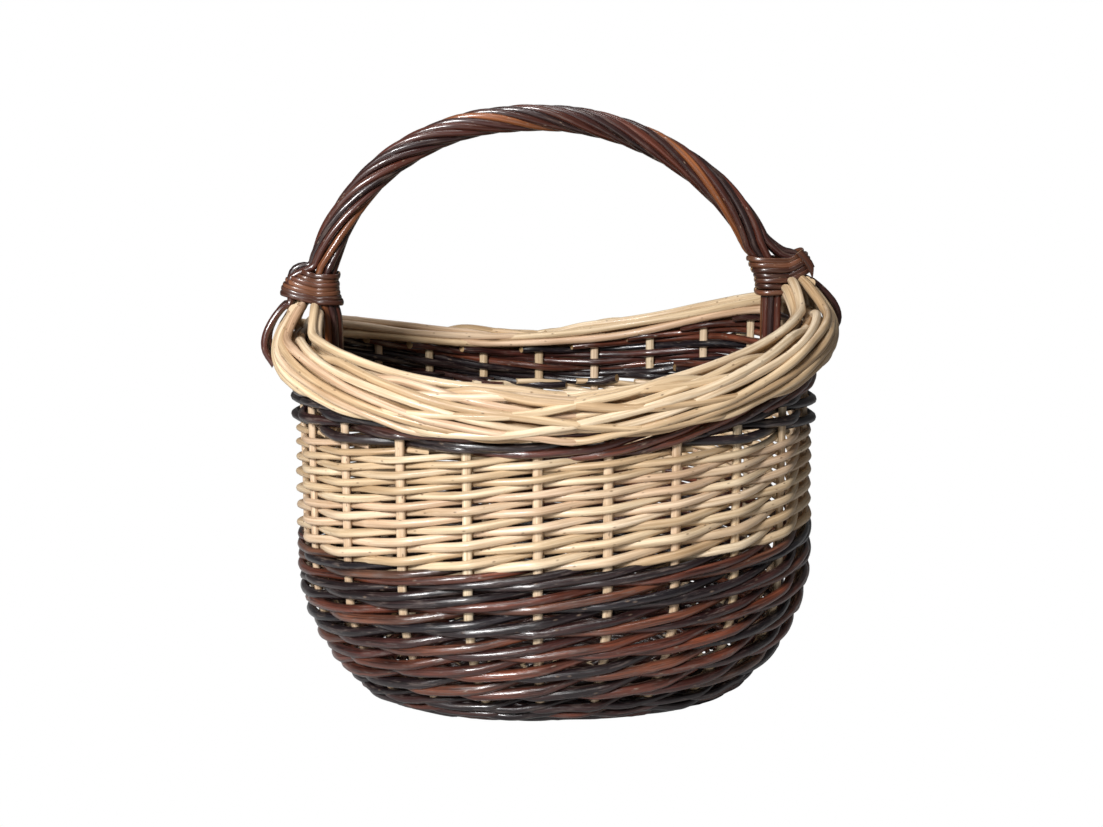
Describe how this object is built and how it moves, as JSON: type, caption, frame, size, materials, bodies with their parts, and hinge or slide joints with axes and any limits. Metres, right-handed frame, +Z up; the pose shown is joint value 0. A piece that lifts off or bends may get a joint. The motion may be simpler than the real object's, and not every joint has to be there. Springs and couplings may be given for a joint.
{
  "type": "market basket",
  "caption": "Oval woven willow market basket with dark and buff bands, a thick rolled border and a fixed twisted bow handle bound to the rim at both ends.",
  "frame": {"origin": "on the ground, under the middle of the basket's overall box", "axes": "+X along the basket's length, in the handle's plane; -Y the front; +Z up"},
  "size_m": [0.4427, 0.354, 0.4475],
  "materials": {
    "buff_willow": "semi-gloss",
    "dark_willow": "semi-gloss",
    "handle_willow": "gloss",
    "skein": "gloss"
  },
  "bodies": {
    "root": {"stake_01": "buff_willow", "stake_02": "buff_willow", "stake_03": "buff_willow", "stake_04": "buff_willow", "stake_05": "buff_willow", "stake_06": "buff_willow", "stake_07": "buff_willow", "stake_08": "buff_willow", "stake_09": "buff_willow", "stake_10": "buff_willow", "stake_11": "buff_willow", "stake_12": "buff_willow", "stake_13": "buff_willow", "stake_14": "buff_willow", "stake_15": "buff_willow", "stake_16": "buff_willow", "stake_17": "buff_willow", "stake_18": "buff_willow", "stake_19": "buff_willow", "stake_20": "buff_willow", "stake_21": "buff_willow", "stake_22": "buff_willow", "stake_23": "buff_willow", "base_stick_long_1": "buff_willow", "base_stick_long_2": "buff_willow", "base_stick_long_3": "buff_willow", "base_stick_cross_1": "buff_willow", "base_stick_cross_2": "buff_willow", "base_stick_cross_3": "buff_willow", "base_stick_cross_4": "buff_willow", "base_stick_cross_5": "buff_willow", "base_stick_cross_6": "buff_willow", "base_stick_cross_7": "buff_willow", "base_weave": "dark_willow", "foot_wale": "dark_willow", "dark_siding": "dark_willow", "top_wale": "dark_willow", "buff_siding": "buff_willow", "border": "buff_willow", "handle_core": "handle_willow", "handle_rod_1": "handle_willow", "handle_rod_2": "handle_willow", "handle_rod_3": "handle_willow", "handle_rod_4": "handle_willow", "handle_rod_5": "handle_willow", "handle_rod_6": "handle_willow", "handle_rod_7": "handle_willow", "handle_rod_8": "handle_willow", "handle_rod_9": "handle_willow", "binding_left": "skein", "binding_right": "skein"}
  },
  "joints": []
}
